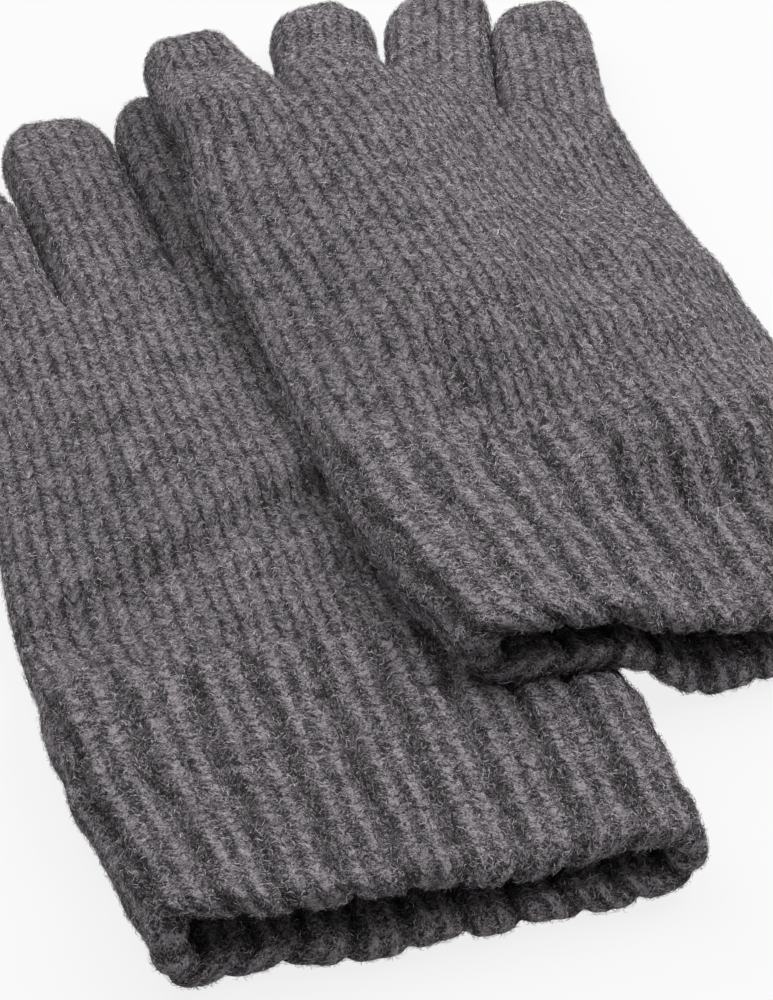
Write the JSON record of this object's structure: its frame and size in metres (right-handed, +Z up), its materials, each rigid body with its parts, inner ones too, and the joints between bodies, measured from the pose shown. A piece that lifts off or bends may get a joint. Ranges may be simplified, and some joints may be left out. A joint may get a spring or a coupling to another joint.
{
  "type": "knitted touchscreen gloves",
  "caption": "Pair of grey melange knitted gloves with ribbed cuffs and touchscreen fingertips, lying one across the other.",
  "frame": {"origin": "under the middle of the pair, on the surface it lies on", "axes": "+Y from the left glove's cuff to its fingertips, +X towards the right glove, +Z up from the palms"},
  "size_m": [0.1674, 0.2826, 0.0347],
  "materials": {
    "plain_knit": "soft brushed plain knit, grey melange",
    "rib_knit": "soft brushed rib knit, grey melange",
    "conductive_knit": "plain knit with conductive yarn, grey melange",
    "label": "woven satin tape, blank"
  },
  "bodies": {
    "left_glove": {"left_hand": "plain_knit", "left_cuff": "rib_knit", "left_cuff_facing": "rib_knit", "left_care_label": "label"},
    "right_glove": {"right_hand": "plain_knit", "right_cuff": "rib_knit", "right_cuff_facing": "rib_knit", "right_care_label": "label"},
    "left_index": {"left_index_finger": "plain_knit", "left_index_touch_tip": "conductive_knit"},
    "left_middle": {"left_middle_finger": "plain_knit"},
    "left_ring": {"left_ring_finger": "plain_knit"},
    "left_little": {"left_little_finger": "plain_knit"},
    "left_thumb": {"left_thumb": "plain_knit", "left_thumb_touch_tip": "conductive_knit"},
    "right_index": {"right_index_finger": "plain_knit", "right_index_touch_tip": "conductive_knit"},
    "right_middle": {"right_middle_finger": "plain_knit"},
    "right_ring": {"right_ring_finger": "plain_knit"},
    "right_little": {"right_little_finger": "plain_knit"},
    "right_thumb": {"right_thumb": "plain_knit", "right_thumb_touch_tip": "conductive_knit"}
  },
  "joints": [
    {"name": "right_glove_lift", "type": "slide", "parent": "left_glove", "child": "right_glove", "axis": [0, 0, 1], "range_m": [0, 0.12]},
    {"name": "left_index_bend", "type": "hinge", "parent": "left_glove", "child": "left_index", "pos_m": [0.00274, 0.04972, -0.0004], "axis": [-1, 0, 0], "range_deg": [0, 85]},
    {"name": "left_middle_bend", "type": "hinge", "parent": "left_glove", "child": "left_middle", "pos_m": [-0.02186, 0.05372, -0.0004], "axis": [-1, 0, 0], "range_deg": [0, 85]},
    {"name": "left_ring_bend", "type": "hinge", "parent": "left_glove", "child": "left_ring", "pos_m": [-0.04646, 0.05072, -0.0004], "axis": [-1, 0, 0], "range_deg": [0, 85]},
    {"name": "left_little_bend", "type": "hinge", "parent": "left_glove", "child": "left_little", "pos_m": [-0.07106, 0.04472, -0.0004], "axis": [-1, 0, 0], "range_deg": [0, 85]},
    {"name": "right_index_bend", "type": "hinge", "parent": "right_glove", "child": "right_index", "pos_m": [-0.0159, 0.07389, 0.03697], "axis": [0.9811, 0.0858, -0.1736], "range_deg": [0, 80]},
    {"name": "right_middle_bend", "type": "hinge", "parent": "right_glove", "child": "right_middle", "pos_m": [0.00771, 0.08298, 0.03288], "axis": [0.9811, 0.0858, -0.1736], "range_deg": [0, 80]},
    {"name": "right_ring_bend", "type": "hinge", "parent": "right_glove", "child": "right_ring", "pos_m": [0.03319, 0.08421, 0.02637], "axis": [0.9811, 0.0858, -0.1736], "range_deg": [0, 80]},
    {"name": "right_little_bend", "type": "hinge", "parent": "right_glove", "child": "right_little", "pos_m": [0.05761, 0.07931, 0.01442], "axis": [0.9811, 0.0858, -0.1736], "range_deg": [0, 80]},
    {"name": "left_thumb_bend", "type": "hinge", "parent": "left_glove", "child": "left_thumb", "pos_m": [0.01534, -0.03628, -0.0004], "axis": [0, 1, 0], "range_deg": [0, 85]},
    {"name": "right_thumb_swing", "type": "hinge", "parent": "right_glove", "child": "right_thumb", "pos_m": [-0.00868, 0.00827, 0.0128], "axis": [0, 0, 1], "range_deg": [0, 60]}
  ]
}
